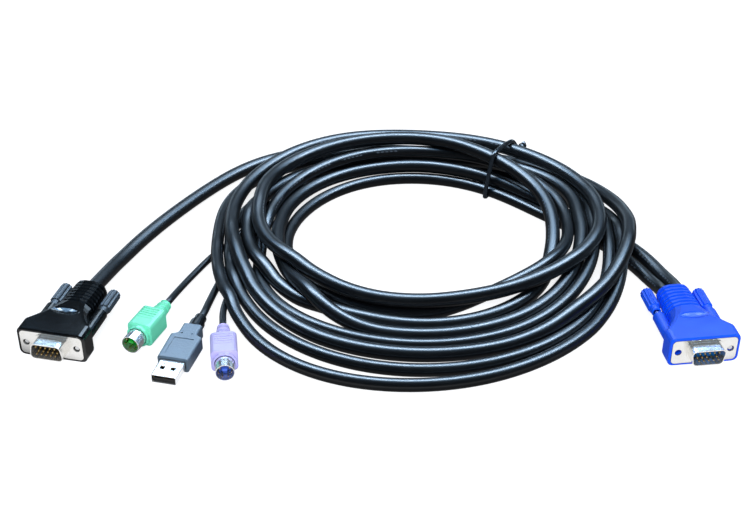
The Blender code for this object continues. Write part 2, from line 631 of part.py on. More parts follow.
def coil_section(angle):
    """Outline of the coil in radius and height at one angle, inner foot first."""
    inner = between_compass(COIL_INNER, angle)
    outer = between_compass(COIL_OUTER, angle)
    top = between_compass(COIL_HEIGHT, angle)
    base = coil_lift(angle)
    foot = JOIN_FOOT if JOIN_SPAN[0] <= angle <= JOIN_SPAN[1] else COIL_FOOT
    foot_top = base + VIDEO_CABLE + 0.8 * MM
    return [(inner + 2 * MM, base), (inner, base + 4 * MM), (inner, top - 6 * MM), (inner + 5 * MM, top),
            (outer - 9 * MM, top), (outer - 1 * MM, top - 7 * MM), (outer, foot_top),
            (outer + foot, foot_top - 0.5 * MM), (outer + foot, base + 3 * MM), (outer + foot - 3 * MM, base)]


def coil_point(angle, radius, height):
    """Place in the scene of a radius and height at one angle of the coil."""
    turn = math.radians(angle)
    spot = COIL_CENTRE + Vector((radius * math.cos(turn), radius * math.sin(turn), height))
    return spot - LAYOUT_CENTRE


def coil(finish):
    """Outer shape of all the turns of both long cables, as one closed ring."""
    marks = {COIL_STEP * step for step in range(int(FULL_TURN / COIL_STEP))}
    wall = 0.01
    spans = [span[:2] for span in LIFTS.values()] + [JOIN_SPAN]
    for edge in {edge for span in spans for edge in span}:
        near = {mark for mark in marks if min((mark - edge) % FULL_TURN, (edge - mark) % FULL_TURN) < 1.5}
        marks = (marks - near) | {(edge - wall) % FULL_TURN, (edge + wall) % FULL_TURN}
    sections = []
    for mark in sorted(marks):
        sections.append([coil_point(mark, radius, height) for radius, height in coil_section(mark)])
    add_mesh("cable_coil", loft(sections, closed=True), finish, None)


def smooth_route(points, spacing, floor=0.0):
    """Even points along the smooth curve that runs through a route's own points.

    A short first and last stretch keeps each end face square to its exit, and no
    point lies lower than the floor height given.
    """
    route = [Vector(point) for point in points]
    ends = [2 * route[0] - route[1]] + route + [2 * route[-1] - route[-2]]
    fine = []
    for index in range(1, len(ends) - 2):
        before, start, end, after = ends[index - 1:index + 3]
        for step in range(24):
            t = step / 24
            fine.append(0.5 * (2 * start + (end - before) * t + (2 * before - 5 * start + 4 * end - after) * t * t
                               + (3 * start - before - 3 * end + after) * t ** 3))
    fine.append(route[-1])
    lengths = [0.0]
    for start, end in zip(fine, fine[1:]):
        lengths.append(lengths[-1] + (end - start).length)
    count = max(3, round(lengths[-1] / spacing))
    short = 1.0 * MM
    goals = [lengths[-1] * step / count for step in range(count + 1)]
    goals[1:1] = [short]
    goals[-1:-1] = [lengths[-1] - short]
    even = []
    for goal in goals:
        index = min(max(1, next(i for i, length in enumerate(lengths) if length >= goal - 1e-9)), len(fine) - 1)
        span = lengths[index] - lengths[index - 1]
        point = fine[index - 1].lerp(fine[index], (goal - lengths[index - 1]) / span)
        point.z = max(point.z, floor)
        even.append(point)
    return even


def tube(name, points, diameter, finish, sides=2, closed=False):
    """A plain round tube with filled ends along a run of points."""
    data = bpy.data.curves.new(name, "CURVE")
    data.dimensions = "3D"
    data.bevel_depth = diameter / 2
    data.bevel_resolution = sides
    data.use_fill_caps = True
    line = data.splines.new("POLY")
    line.points.add(len(points) - 1)
    for target, point in zip(line.points, points):
        target.co = (*point, 1.0)
    line.use_cyclic_u = closed
    data.materials.append(finish)
    item = bpy.data.objects.new(name, data)
    bpy.context.collection.objects.link(item)
    return item


def behind(plug, distance, side=0.0, height=0.0):
    """Place behind a plug, along its own axis, before anything is drawn."""
    return plug.matrix_basis @ Vector((side, distance, height))


def low(diameter):
    """Lowest height for the middle of a cable that lies on the table."""
    return diameter / 2 + TABLE_GAP


def on_table(x, y, diameter):
    """Place on the table for the middle of a cable, in steps of the layout's grid."""
    return Vector((x * GRID, y * GRID, low(diameter))) - LAYOUT_CENTRE


def cables(plugs, finish):
    """The stretches of cable outside the coil, by hand-chosen points along their routes."""
    hood_end = NECK_START + RELIEF_LENGTH + 0.5 * MM + SEAT
    relief_side = VIDEO_CABLE / 2 - 0.2 * MM
    black = plugs["black"]
    join_radius = between_compass(COIL_OUTER, JOIN_SPAN[1]) + JOIN_FOOT / 2
    join = coil_point(JOIN_SPAN[1] + 0.5, join_radius, low(VIDEO_CABLE))
    route = [behind(black, hood_end), behind(black, hood_end + 9 * MM)]
    for x, y in ((-129, 2), (-113, 32), (-93, 66), (-67, 96), (-37, 110), (-8, 109)):
        route.append(on_table(x, y, VIDEO_CABLE))
    tube("video_cable_black_end", smooth_route(route + [join], 2.5 * VIDEO_CABLE, low(VIDEO_CABLE)), VIDEO_CABLE, finish, 3)
    blue = plugs["blue"]
    wall = LIFTS["blue end"][1]
    runs = (("video_cable_blue_end", VIDEO_CABLE, relief_side, 106.6, ((144.2, -20), (140.0, -2))),
            ("data_cable_blue_end", DATA_CABLE, -relief_side - 0.1 * MM, 98.6, ((136.3, -20), (131.6, -2))))
    for name, diameter, side, radius, middle in runs:
        route = [behind(blue, hood_end, side), behind(blue, hood_end + 7 * MM, side)]
        for x, y in middle:
            route.append(on_table(x, y, diameter))
        radius_point = coil_point(wall - 0.45, radius * GRID, low(diameter))
        tube(name, smooth_route(route + [radius_point], 2.0 * diameter, low(diameter)), diameter, finish, 3)


def leads(plugs, finish):
    """Three thin leads from the splitter to the round plugs and the data plug."""
    round_end = COLLAR_LENGTH + ROUND_BODY_LENGTH + 0.98 * BOOT_LENGTH + SEAT
    data_end = DATA_BODY_LENGTH + SEAT + DATA_BOOT_LENGTH + SEAT
    splitter = plugs["splitter"]
    runs = (("green_lead", "green", ROUND_LEAD, round_end, -1, ((-97.5, -33), (-92, -14), (-84, 2), (-76, 15))),
            ("data_lead", "data", DATA_LEAD, data_end, 0, ((-81.3, -40), (-78.8, -25), (-75, -8), (-70, 10))),
            ("purple_lead", "purple", ROUND_LEAD, round_end, 1, ((-73.3, -47), (-72.3, -30), (-69.5, -12), (-65.5, 6))))
    for name, plug, diameter, end, exit_number, middle in runs:
        start = plugs[plug]
        route = [behind(start, end), behind(start, end + 5 * MM)]
        for x, y in middle:
            route.append(on_table(x, y, diameter))
        exit_side = exit_number * SPLITTER_EXIT_PITCH
        route.append(behind(splitter, -5 * MM, exit_side))
        route.append(behind(splitter, -SEAT, exit_side))
        tube(name, smooth_route(route, 2.2 * diameter, low(diameter)), diameter, finish, 2)


def splitter_body(finish):
    """Moulded joint under the coil: three leads in front, the long cable behind."""
    item = holder("splitter_frame", SPLITTER_PLACE, SPLITTER_HEIGHT / 2, SPLITTER_TURN)
    half_width = SPLITTER_WIDTH / 2
    half_height = SPLITTER_HEIGHT / 2
    edge = 0.6 * MM
    rings = [(0.0, half_width - edge, half_height - edge, 2.4 * MM), (edge, half_width, half_height, SPLITTER_CORNER),
             (0.42 * SPLITTER_LENGTH, half_width, half_height, SPLITTER_CORNER)]
    for step in range(1, 4):
        share = step / 3
        ease = (1 - math.cos(math.pi * share)) / 2
        place = (0.42 + 0.2 * share) * SPLITTER_LENGTH
        wide = half_width + (SPLITTER_TAIL_RADIUS - half_width) * ease
        high = half_height + (SPLITTER_TAIL_RADIUS - half_height) * ease
        rings.append((place, wide, high, SPLITTER_CORNER + (SPLITTER_TAIL_RADIUS - SPLITTER_CORNER) * ease))
    for ring in range(3):
        for share, depth in ((0.2, 0.6 * MM), (0.5, 0.6 * MM), (0.62, 0.0), (1.0, 0.0)):
            place = (0.62 + 0.38 * (ring + share) / 3) * SPLITTER_LENGTH
            radius = SPLITTER_TAIL_RADIUS - depth - 0.15 * MM * (ring + share)
            rings.append((place, radius, radius, radius))
    shape = [along_y(rounded_rectangle(wide, high, corner, 3), place) for place, wide, high, corner in rings]
    add_mesh("splitter", loft(shape), finish, item)
    return item


def wire_tie(finish):
    """Plastic-coated wire bent round the bundle, its two tails twisted together."""
    section = coil_section(TIE_ANGLE)
    gap = TIE_WIRE / 2 + 0.15 * MM + SEAT / 2
    low_radius = min(radius for radius, height in section) - gap
    high_radius = max(radius for radius, height in section) + gap
    top = max(height for radius, height in section) + gap
    bottom = low(TIE_WIRE)
    middle = ((low_radius + high_radius) / 2, (top + bottom) / 2)
    outline = rounded_rectangle((high_radius - low_radius) / 2, (top - bottom) / 2, TIE_CORNER, 4)
    loop = [Vector((x + middle[0], z + middle[1])) for x, z in outline]
    axis_start = Vector((*(loop[2] + Vector((0.6, 0.8)) * 0.5 * MM), 0.0))
    along = Vector((0.45, 0.3, -0.84)).normalized()
    across = along.cross(Vector((-0.69, 0.72, 0.0))).normalized()
    over = along.cross(across)
    twist_steps = 5
    tails = []
    for turn_start in (0.0, math.pi):
        tail = []
        for step in range(twist_steps + 1):
            share = step / twist_steps
            turn = turn_start + 0.9 * math.pi * share
            reach = axis_start + along * (TIE_TWIST_START + TIE_TAIL * share)
            tail.append(reach + (across * math.cos(turn) + over * math.sin(turn)) * TIE_SPREAD)
        tails.append(tail)
    around = [Vector((*point, 0.0)) for point in loop[4:] + loop[:1]]
    points = list(reversed(tails[0])) + around + tails[1]
    turn = math.radians(TIE_ANGLE)
    sideways = Vector((-math.sin(turn), math.cos(turn), 0.0))
    places = [coil_point(TIE_ANGLE, radius, height) + sideways * side for radius, height, side in points]
    tube("wire_tie", smooth_route(places, 1.5 * TIE_WIRE), TIE_WIRE, finish, 2)


def build():
    """Make every piece of the cable."""
    clear_scene()
    black_moulding = material("black_moulding", (0.012, 0.013, 0.016), 0.32)
    knob_plastic = material("knob_plastic", (0.05, 0.055, 0.065), 0.4)
    blue_moulding = material("blue_moulding", (0.005, 0.10, 0.95), 0.3)
    nickel = material("nickel", (0.86, 0.85, 0.82), 0.2, 1.0)
    black_insert = material("black_insert", (0.02, 0.02, 0.02), 0.5)
    blue_insert = material("blue_insert", (0.01, 0.06, 0.5), 0.45)
    screw_steel = material("screw_steel", (0.72, 0.72, 0.72), 0.25, 1.0)
    gold = material("gold", (0.9, 0.65, 0.25), 0.25, 1.0)
    green_moulding = material("green_moulding", (0.10, 0.85, 0.55), 0.35)
    green_core = material("green_core", (0.01, 0.35, 0.03), 0.45)
    purple_moulding = material("purple_moulding", (0.55, 0.48, 0.95), 0.35)
    purple_core = material("purple_core", (0.03, 0.05, 0.45), 0.45)
    grey_moulding = material("grey_moulding", (0.13, 0.19, 0.27), 0.45)
    cable_jacket = material("cable_jacket", (0.008, 0.009, 0.012), 0.22)
    tie_coating = material("tie_coating", (0.02, 0.022, 0.026), 0.3)

    no_pull = {"left": 0.0, "right": 0.0}
    left_pull = {"left": 3.2 * MM, "right": 0.0}
    plugs = {}
    plugs["black"] = video_plug("black", BLACK_PLACE, BLACK_TURN, True, None, no_pull, {
        "hood": black_moulding, "steel": nickel, "insert": black_insert,
        "screw": screw_steel, "knob": knob_plastic})
    plugs["blue"] = video_plug("blue", BLUE_PLACE, BLUE_TURN, False, (1, 3), left_pull, {
        "hood": blue_moulding, "steel": nickel, "insert": blue_insert,
        "screw": screw_steel, "knob": blue_moulding})
    plugs["green"] = round_plug("green", GREEN_PLACE, GREEN_TURN, {
        "body": green_moulding, "steel": nickel, "core": green_core, "pin": gold})
    plugs["purple"] = round_plug("purple", PURPLE_PLACE, PURPLE_TURN, {
        "body": purple_moulding, "steel": nickel, "core": purple_core, "pin": gold})
    plugs["data"] = data_plug({
        "body": grey_moulding, "boot": cable_jacket, "steel": nickel, "tongue": black_insert, "pin": gold})
    plugs["splitter"] = splitter_body(cable_jacket)
    coil(cable_jacket)
    cables(plugs, cable_jacket)
    leads(plugs, cable_jacket)
    wire_tie(tie_coating)


build()
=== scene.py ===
"""A keyboard, video and mouse cable, coiled and tied, on a pale table."""
import math

import bmesh
import bpy
import numpy as np
from mathutils import Matrix, Vector


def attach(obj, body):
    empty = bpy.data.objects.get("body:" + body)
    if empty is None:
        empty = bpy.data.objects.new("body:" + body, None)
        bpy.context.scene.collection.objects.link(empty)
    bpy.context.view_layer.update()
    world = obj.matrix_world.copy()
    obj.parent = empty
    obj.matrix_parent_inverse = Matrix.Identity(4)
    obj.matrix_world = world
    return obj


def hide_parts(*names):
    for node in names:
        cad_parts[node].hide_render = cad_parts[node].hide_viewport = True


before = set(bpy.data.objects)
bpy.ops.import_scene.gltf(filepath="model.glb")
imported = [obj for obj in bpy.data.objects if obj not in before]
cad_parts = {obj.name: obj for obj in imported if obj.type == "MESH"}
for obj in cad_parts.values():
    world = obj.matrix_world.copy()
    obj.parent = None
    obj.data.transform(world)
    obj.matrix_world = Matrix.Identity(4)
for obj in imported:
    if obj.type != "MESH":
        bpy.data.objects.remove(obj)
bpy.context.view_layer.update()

# Camera: in front of the table, looking down by 33 degrees. Its place and lens were
# solved from the mating faces of the two video plugs, whose size is standard.
MM = 0.001
LAYOUT_CENTRE = Vector((1.115, -5.46, 0.0))
CAMERA_PLACE = Vector((0.0, -562.498, 369.492))
LOOK_DOWN = 33.3
FOCAL_LENGTH = 62.4
SENSOR_WIDTH = 36.0
camera = bpy.data.objects.new("camera", bpy.data.cameras.new("camera"))
bpy.context.scene.collection.objects.link(camera)
camera.data.sensor_width = SENSOR_WIDTH
camera.data.lens = FOCAL_LENGTH
camera.data.clip_start = 0.01
camera.location = (CAMERA_PLACE - LAYOUT_CENTRE) * MM
camera.rotation_euler = (math.radians(90 - LOOK_DOWN), 0.0, 0.0)
bpy.context.scene.camera = camera


# Thin leads: three round cords with jackets extruded in glossy black plastic. Each is
# moulded into the back of its small plug and runs to a splitter under the coil.
ROUND_LEAD = 3.4
DATA_LEAD = 3.6
ROUND_BODY_END = 27.79
DATA_BODY_END = 38.0
BODY_OVERLAP = 0.6
STRAIGHT_RUN = 5.0
SPLITTER_OVERLAP = 0.5
LEAD_PITCH = 4.3
LEAD_SPACING = 3.0
ROUTE_POINTS = 16
LEAD_SIDES = 5
TABLE_GAP = 0.05
BODY = "cable"


def frame_of(place, height, turn, flipped=False):
    """Where a plug lies: -Y runs out of its mating face, +Y to its cable, in metres."""
    spot = (Vector((*place, height)) - LAYOUT_CENTRE) * MM
    over = Matrix.Rotation(math.pi if flipped else 0.0, 4, "Y")
    return Matrix.Translation(spot) @ Matrix.Rotation(math.radians(turn), 4, "Z") @ over


def spot_at(plug, distance, side=0.0, height=0.0):
    """A point behind a plug's mating face, in the layout's millimetres."""
    return plug @ (Vector((side, distance, height)) * MM) / MM + LAYOUT_CENTRE


def smooth_line(points):
    """A smooth line through a few points of a route."""
    points = [np.array(point, float) for point in points]
    ends = [2 * points[0] - points[1]] + points + [2 * points[-1] - points[-2]]
    fine = []
    for a, b, c, d in zip(ends, ends[1:], ends[2:], ends[3:]):
        for t in np.linspace(0, 1, ROUTE_POINTS, endpoint=False):
            fine.append(0.5 * (2 * b + (c - a) * t + (2 * a - 5 * b + 4 * c - d) * t * t
                               + (3 * b - a - 3 * c + d) * t ** 3))
    fine.append(points[-1])
    return np.array(fine)


def even(line, spacing):
    """The same line with its points evenly spaced."""
    steps = np.linalg.norm(np.diff(line, axis=0), axis=1)
    run = np.concatenate([[0], np.cumsum(steps)])
    goals = np.linspace(0, run[-1], int(round(run[-1] / spacing)) + 1)
    return np.stack([np.interp(goals, run, line[:, axis]) for axis in range(3)], axis=1)


def lead_route(plug, body_end, middle, diameter, side):
    """A thin lead from the back of a small plug, over the table, to the splitter."""
    lowest = diameter / 2 + TABLE_GAP
    start = body_end - BODY_OVERLAP
    points = [spot_at(plug, start), spot_at(plug, start + STRAIGHT_RUN)]
    points += [(x, y, max(height, lowest)) for x, y, height in middle]
    points += [spot_at(SPLITTER, -STRAIGHT_RUN, side), spot_at(SPLITTER, SPLITTER_OVERLAP, side)]
    line = even(smooth_line(points), LEAD_SPACING)
    line[:, 2] = np.maximum(line[:, 2], lowest)
    return line


def node(tree, kind, inputs=(), **settings):
    """Add a shader node, set its options and link or fill its inputs."""
    made = tree.nodes.new(kind)
    for key, value in settings.items():
        setattr(made, key, value)
    for key, value in dict(inputs).items():
        if isinstance(value, bpy.types.NodeSocket):
            tree.links.new(value, made.inputs[key])
        else:
            made.inputs[key].default_value = value
    return made


def start_material(name):
    """An empty node material, with its shader and object coordinates."""
    made = bpy.data.materials.new(name)
    made.use_nodes = True
    tree = made.node_tree
    shader = tree.nodes["Principled BSDF"]
    return made, tree, shader, node(tree, "ShaderNodeTexCoord").outputs["Object"]


def noise(tree, where, scale, detail):
    """A cloudy pattern between 0 and 1."""
    return node(tree, "ShaderNodeTexNoise",
                {"Vector": where, "Scale": scale, "Detail": detail}).outputs[0]


def mix_colour(tree, factor, first, second):
    """Blend two colours by a linked factor."""
    made = node(tree, "ShaderNodeMix", {0: factor, 6: first, 7: second}, data_type="RGBA")
    return made.outputs[2]


def between(tree, value, low, high):
    """Stretch a value from 0 to 1 over another range."""
    return node(tree, "ShaderNodeMapRange",
                {"Value": value, "To Min": low, "To Max": high}).outputs[0]


def finish_surface(tree, shader, colour, roughness, height, strength, distance):
    """Link a colour, a roughness and a bump to the shader."""
    bump = node(tree, "ShaderNodeBump",
                {"Height": height, "Strength": strength, "Distance": distance})
    tree.links.new(colour, shader.inputs["Base Color"])
    tree.links.new(roughness, shader.inputs["Roughness"])
    tree.links.new(bump.outputs[0], shader.inputs["Normal"])


def jacket_material(name):
    """Glossy black cable plastic, faintly uneven."""
    made, tree, shader, where = start_material(name)
    cloud = noise(tree, where, 60.0, 3.0)
    colour = mix_colour(tree, cloud, (0.001, 0.0013, 0.0018, 1), (0.003, 0.0036, 0.0048, 1))
    grain = noise(tree, where, 900.0, 2.0)
    finish_surface(tree, shader, colour, between(tree, cloud, 0.27, 0.35), grain, 0.06, 0.0002)
    return made


def cord_piece(name, line, diameter, finish, sides):
    """A round cable skinned along a line of points."""
    data = bpy.data.curves.new(name, "CURVE")
    data.dimensions = "3D"
    data.bevel_depth = diameter / 2 * MM
    data.bevel_resolution = sides
    data.use_fill_caps = True
    spline = data.splines.new("POLY")
    spline.points.add(len(line) - 1)
    route = [(Vector(point) - LAYOUT_CENTRE) * MM for point in line]
    for target, point in zip(spline.points, route):
        target.co = (*point, 1.0)
    data.materials.append(finish)
    spline.use_smooth = True
    item = bpy.data.objects.new(name, data)
    bpy.context.scene.collection.objects.link(item)
    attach(item, BODY)
    return item, route


GREEN_PLUG = frame_of((-111.2, -73.2), 5.9, -20.6)
PURPLE_PLUG = frame_of((-68.4, -93.8), 5.9, 7.0)
DATA_PLUG = frame_of((-92.4, -91.5), 3.8, -13.5)
SPLITTER = frame_of((-64.2, 26.0), 4.5, -19.0)
GREEN_ROUTE = ((-97.3, -32.5, 4.2), (-92.3, -17, 2.6), (-84.5, 1.5, 1.8), (-76, 15, 1.8))
DATA_ROUTE = ((-81.3, -40, 2.6), (-78.8, -25, 1.9), (-75, -8, 1.9), (-70, 10, 1.9))
PURPLE_ROUTE = ((-73.4, -49, 4.0), (-72.3, -32, 2.2), (-69.5, -12, 1.8), (-65.5, 6, 1.8))
lead_lines = {
    "green_lead_jacket": (
        lead_route(GREEN_PLUG, ROUND_BODY_END, GREEN_ROUTE, ROUND_LEAD, -LEAD_PITCH), ROUND_LEAD),
    "data_lead_jacket": (
        lead_route(DATA_PLUG, DATA_BODY_END, DATA_ROUTE, DATA_LEAD, 0.0), DATA_LEAD),
    "purple_lead_jacket": (
        lead_route(PURPLE_PLUG, ROUND_BODY_END, PURPLE_ROUTE, ROUND_LEAD, LEAD_PITCH), ROUND_LEAD),
}
plain_jacket = jacket_material("plain_jacket")
for name, (line, diameter) in lead_lines.items():
    lead, route = cord_piece(name, line, diameter, plain_jacket, LEAD_SIDES)
    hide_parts(name.replace("_jacket", ""))


# Long cables: a thick one for the picture and a thinner one for keyboard, mouse and data,
# in the same black plastic with a printed row. They leave the blue plug side by side, are
# wound together four times and a third, and settle on each other like real cable.
VIDEO_CABLE = 7.4
DATA_CABLE = 6.4
COIL_CENTRE = Vector((24.0, 6.0))
STATION_STEP = 30
STATION_POINTS = 20
# Radius and height of each station, turn by turn, clockwise from the back of the coil
VIDEO_TURNS = (
    ((104, 4), (106.5, 5), (112, 8.5), (106, 15.5), (97.5, 9.5), (91.5, 4.5),
     (90, 3.8), (91.3, 3.8), (93.5, 7.5), (98.4, 11), (106.3, 15.3), (105, 18.5)),
    ((96.5, 19.3), (95.7, 20), (98, 18), (91.5, 16), (70.5, 12.8), (58, 10.8),
     (56.5, 10.3), (58.5, 10.5), (66.5, 12.6), (82.5, 15.2), (94.5, 18.2), (96, 20)),
    ((89, 21.8), (79.5, 21.5), (75.5, 16.5), (68, 11), (67.5, 4.2), (67, 3.8),
     (67.3, 3.8), (68, 3.8), (79, 3.8), (89.5, 8.5), (92.5, 13), (90.5, 9.8)),
    ((88, 9.2), (91, 11.3), (94, 12.7), (82.5, 10), (78, 6), (75.5, 3.8),
     (75, 3.8), (75.5, 4.2), (71.5, 10.5), (74.7, 10), (80.5, 9), (82, 9)),
    ((78.5, 9.3), (76.5, 9), (82, 7)),
)
DATA_TURNS = (
    ((90, 3.3), (92, 3.3), (96.5, 3.3), (96.3, 10), (97, 4.5), (99.5, 3.4),
     (101, 3.3), (101.5, 3.3), (99.5, 4), (97.5, 6), (101.5, 3.6), (98.5, 3.4)),
    ((97, 3.4), (99, 3.4), (103.5, 3.4), (102.8, 10), (103.5, 4.5), (107, 3.4),
     (111.5, 3.3), (114.5, 3.3), (108.5, 4.5), (104.3, 6.5), (115, 6), (107, 7)),
    ((94.8, 10), (98, 10.2), (100.5, 9.5), (89.8, 10), (84.5, 6), (82.5, 3.5),
     (82.2, 3.3), (83.5, 3.3), (86.5, 3.6), (82.5, 6), (85.3, 12.8), (86.5, 15.7)),
    ((85, 15.5), (85, 15.8), (84, 11), (75.5, 10), (62.5, 11), (53.5, 7.5),
     (58, 3.4), (60, 3.3), (63.5, 3.4), (70.2, 3.4), (73, 3.4), (76, 3.4)),
    ((75.7, 3.3), (74, 3.3), (74.5, 3.3)),
)
# Angle, radius and height where each long cable comes to the coil and leaves it
VIDEO_ARRIVES = ((152, 131.5, 3.8), (134, 128.8, 3.8), (120, 121, 3.8), (106, 111.5, 3.8))
VIDEO_LEAVES = ((15, 93, 4), (3.2, 108.2, 3.8))
DATA_ARRIVES = ((152.3, 90.7, 4.6), (136, 89, 4), (118, 89, 3.4))
DATA_LEAVES = ((10, 89, 3.3), (-7.5, 107.9, 3.3))
# The two video plugs, and where a cable leaves a hood
BLACK_PLUG = frame_of((-149.4, -82.2), 7.6, -13.0, True)
BLUE_PLUG = frame_of((151.3, -86.0), 7.6, 7.5)
HOOD_END = 46.8
HOOD_OVERLAP = 1.0
RELIEF_SIDE = 3.5
CABLE_SPACING = 4.0
LONG_SIDES = 7
# The splitter as spheres that nothing sinks into: a wide front and a narrow tail
SPLITTER_LENGTH = 22.0
SPLITTER_FRONT = 11.0
SPLITTER_STEP = 2.5
FRONT_SIDES = (-2.6, 2.6)
FRONT_RADIUS = 4.5
TAIL_RADIUS = 4.3
# Settling: each round pulls a cable to its plan, lets it sink, eases its short and long
# bends, and pushes apart what touches
SETTLE_ROUNDS = 420
PLAN_PULL = 0.03
SINK = 0.02
EASE_PASSES = 3
BENDS = ((1, 0.2), (4, 0.02))
PUSH_PASSES = 3
PUSH = 0.35
TOUCH_GAP = 0.15
PAIR_REACH = 11.0
PAIR_ROUNDS = 10
PAIR_BLOCK = 200
NEIGHBOURS = 6
# The printed row: short dashes in groups, with a long gap after every few groups
PRINT_COLOUR = (0.06, 0.075, 0.095, 1)
PRINT_START = 170.0
PRINT_HALF_HEIGHT = 0.018
DASH, DASH_SHARE = 2.6, 0.6
GROUP, GROUP_SHARE = 21.0, 0.62
SPAN, SPAN_SHARE = 330.0, 0.36
VIDEO_RUN = 2580.0
DATA_RUN = 2560.0


def round_coil(stations):
    """A smooth line through stations of (angle, radius, height) round the coil."""
    stations = np.array(stations, float)
    last = len(stations) - 1
    fine = []
    for k in range(last):
        near = [stations[min(max(k + step, 0), last)] for step in (-1, 0, 1, 2)]
        before, start, end, after = near
        sweep = end[0] - start[0]
        leave = (end - before) / (end[0] - before[0]) * sweep
        reach = (after - start) / (after[0] - start[0]) * sweep
        for t in np.linspace(0, 1, STATION_POINTS, endpoint=False):
            point = ((2 * t ** 3 - 3 * t ** 2 + 1) * start + (t ** 3 - 2 * t ** 2 + t) * leave
                     + (3 * t ** 2 - 2 * t ** 3) * end + (t ** 3 - t ** 2) * reach)
            fine.append((start[0] + sweep * t, point[1], point[2]))
    fine.append(tuple(stations[-1]))
    fine = np.array(fine)
    turn = np.radians(fine[:, 0])
    return np.stack([COIL_CENTRE.x + fine[:, 1] * np.cos(turn),
                     COIL_CENTRE.y + fine[:, 1] * np.sin(turn), fine[:, 2]], axis=1)


def coil_line(arrives, turns, leaves):
    """The coiled stretch of one cable, from its arrival to where it leaves."""
    stations = list(arrives)
    for number, turn in enumerate(turns):
        for step, (radius, height) in enumerate(turn):
            stations.append((90 - STATION_STEP * step - 360 * number, radius, height))
    whole = 360 * (len(turns) - 1)
    stations += [(angle - whole, radius, height) for angle, radius, height in leaves]
    return round_coil(stations)


def held_ends(line, first, last):
    """Marks on the points at both ends that settling leaves where they are."""
    held = np.zeros(len(line), bool)
    held[:first] = held[-last:] = True
    return held


def stiffen(line, loose, step, strength):
    """Ease the bends of a cable over a stretch of so many points, ends held."""
    turn = np.zeros_like(line)
    turn[step:-step] = (line[:-2 * step] + line[2 * step:]) / 2 - line[step:-step]
    change = np.zeros_like(line)
    beside = (turn[step:-3 * step] + turn[3 * step:-step]) / 2
    change[2 * step:-2 * step] = beside - turn[2 * step:-2 * step]
    line -= strength * change * loose


def close_pairs(points, line_of, free):
    """Pairs of cable points near enough to touch, neighbours along one cable left out."""
    first, second = [], []
    for start in range(0, len(points), PAIR_BLOCK):
        apart = np.linalg.norm(points[start:start + PAIR_BLOCK, None] - points[None], axis=2)
        one, two = np.nonzero(apart < PAIR_REACH)
        one = one + start
        other = (line_of[one] != line_of[two]) | (np.abs(one - two) > NEIGHBOURS)
        keep = (one < two) & other & (free[one] | free[two])
        first.append(one[keep])
        second.append(two[keep])
    return np.concatenate(first), np.concatenate(second)


def settle(lines, radii, held, fixed, fixed_radii):
    """Let cables sink onto the table and each other, until none lies inside another."""
    starts = np.cumsum([0] + [len(line) for line in lines])
    points = np.concatenate(lines + [fixed])
    radius = [np.full(len(line), r) for line, r in zip(lines, radii)]
    radius = np.concatenate(radius + [fixed_radii])
    line_of = [np.full(len(line), k) for k, line in enumerate(lines)]
    line_of = np.concatenate(line_of + [np.full(len(fixed), -1)])
    free = np.concatenate([~mask for mask in held] + [np.zeros(len(fixed), bool)])
    plan = points.copy()
    for round_number in range(SETTLE_ROUNDS):
        points[free] += PLAN_PULL * (plan[free] - points[free])
        points[free, 2] -= SINK
        for start, end in zip(starts, starts[1:]):
            for _ in range(EASE_PASSES):
                for step, strength in BENDS:
                    stiffen(points[start:end], free[start:end, None], step, strength)
        if round_number % PAIR_ROUNDS == 0:
            one, two = close_pairs(points, line_of, free)
        for _ in range(PUSH_PASSES):
            apart = points[one] - points[two]
            distance = np.maximum(np.linalg.norm(apart, axis=1), 1e-6)
            overlap = radius[one] + radius[two] + TOUCH_GAP - distance
            touch = overlap > 0
            push = apart[touch] / distance[touch, None] * (PUSH * overlap[touch])[:, None]
            move = np.zeros_like(points)
            np.add.at(move, one[touch], push)
            np.add.at(move, two[touch], -push)
            points[free] += move[free]
            points[free, 2] = np.maximum(points[free, 2], radius[free] + TABLE_GAP)
    return [points[start:end] for start, end in zip(starts, starts[1:])]


def arithmetic(tree, operation, first, second=0.5, third=0.0):
    """One step of shader arithmetic."""
    return node(tree, "ShaderNodeMath", {0: first, 1: second, 2: third},
                operation=operation).outputs[0]


def part_of(tree, run, period, share):
    """1 over the first share of each period along the cable, and 0 over the rest."""
    phase = arithmetic(tree, "FRACT", arithmetic(tree, "DIVIDE", run, period))
    return arithmetic(tree, "LESS_THAN", phase, share)


def printed_jacket(name, length, side):
    """The same plastic with a row of plain pale dashes printed along one side."""
    made = jacket_material(name)
    tree = made.node_tree
    base = tree.nodes["Principled BSDF"].inputs["Base Color"]
    bare = base.links[0].from_socket
    chart = node(tree, "ShaderNodeUVMap", uv_map="UVMap").outputs[0]
    along, around, _ = node(tree, "ShaderNodeSeparateXYZ", {0: chart}).outputs
    run = arithmetic(tree, "MULTIPLY_ADD", along, length, PRINT_START)
    dash = part_of(tree, run, DASH, DASH_SHARE)
    group = part_of(tree, run, GROUP, GROUP_SHARE)
    span = part_of(tree, run, SPAN, SPAN_SHARE)
    off = arithmetic(tree, "ABSOLUTE", arithmetic(tree, "SUBTRACT", around, side))
    row = arithmetic(tree, "LESS_THAN", off, PRINT_HALF_HEIGHT)
    mask = arithmetic(tree, "MULTIPLY", arithmetic(tree, "MULTIPLY", dash, group),
                      arithmetic(tree, "MULTIPLY", row, span))
    tree.links.new(mix_colour(tree, mask, bare, PRINT_COLOUR), base)
    return made


fixed, fixed_radii = [], []
for line, diameter in lead_lines.values():
    fixed += list(line)
    fixed_radii += [diameter / 2] * len(line)
for reach in np.arange(1.0, SPLITTER_LENGTH, SPLITTER_STEP):
    in_front = reach < SPLITTER_FRONT
    for side in FRONT_SIDES if in_front else (0.0,):
        fixed.append(spot_at(SPLITTER, reach, side))
        fixed_radii.append(FRONT_RADIUS if in_front else TAIL_RADIUS)

